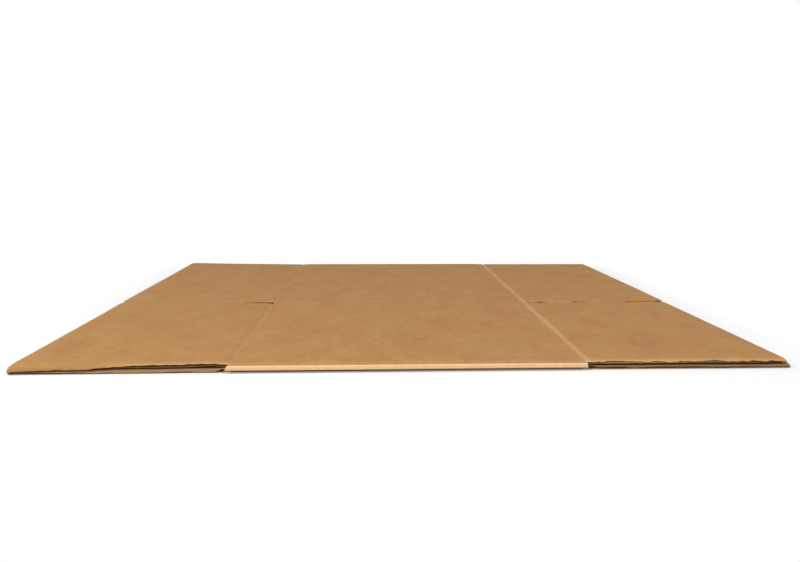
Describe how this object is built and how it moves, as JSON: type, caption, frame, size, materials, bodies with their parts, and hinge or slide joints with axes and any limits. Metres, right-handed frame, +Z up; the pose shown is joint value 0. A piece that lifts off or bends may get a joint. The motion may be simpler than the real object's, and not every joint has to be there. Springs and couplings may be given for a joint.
{
  "type": "flattened cardboard box",
  "caption": "Corrugated shipping box, folded and glued, stored knocked down flat; its upper end flaps fold up about their scores.",
  "frame": {"origin": "middle of the flat box's footprint, on the surface that it lies on", "axes": "+Z up, out of the flat box's upper face; +X along the flutes, to the right, with flaps at both ends; +Y from the front fold to the back fold"},
  "size_m": [0.677, 0.821, 0.009],
  "materials": {
    "kraft_board": "matte"
  },
  "bodies": {
    "sheet": {"folded_sheet": "kraft_board"},
    "front_left": {"front_left_flap": "kraft_board"},
    "front_right": {"front_right_flap": "kraft_board"},
    "back_left": {"back_left_flap": "kraft_board"},
    "back_right": {"back_right_flap": "kraft_board"}
  },
  "joints": [
    {"name": "front_left_fold", "type": "hinge", "parent": "sheet", "child": "front_left", "pos_m": [-0.1565, -0.2304, 0.0084], "axis": [0, 1, 0], "range_deg": [0, 140]},
    {"name": "front_right_fold", "type": "hinge", "parent": "sheet", "child": "front_right", "pos_m": [0.1565, -0.2304, 0.0084], "axis": [0, -1, 0], "range_deg": [0, 140]},
    {"name": "back_left_fold", "type": "hinge", "parent": "sheet", "child": "back_left", "pos_m": [-0.1565, 0.18, 0.0084], "axis": [0, 1, 0], "range_deg": [0, 140]},
    {"name": "back_right_fold", "type": "hinge", "parent": "sheet", "child": "back_right", "pos_m": [0.1565, 0.18, 0.0084], "axis": [0, -1, 0], "range_deg": [0, 140]}
  ]
}
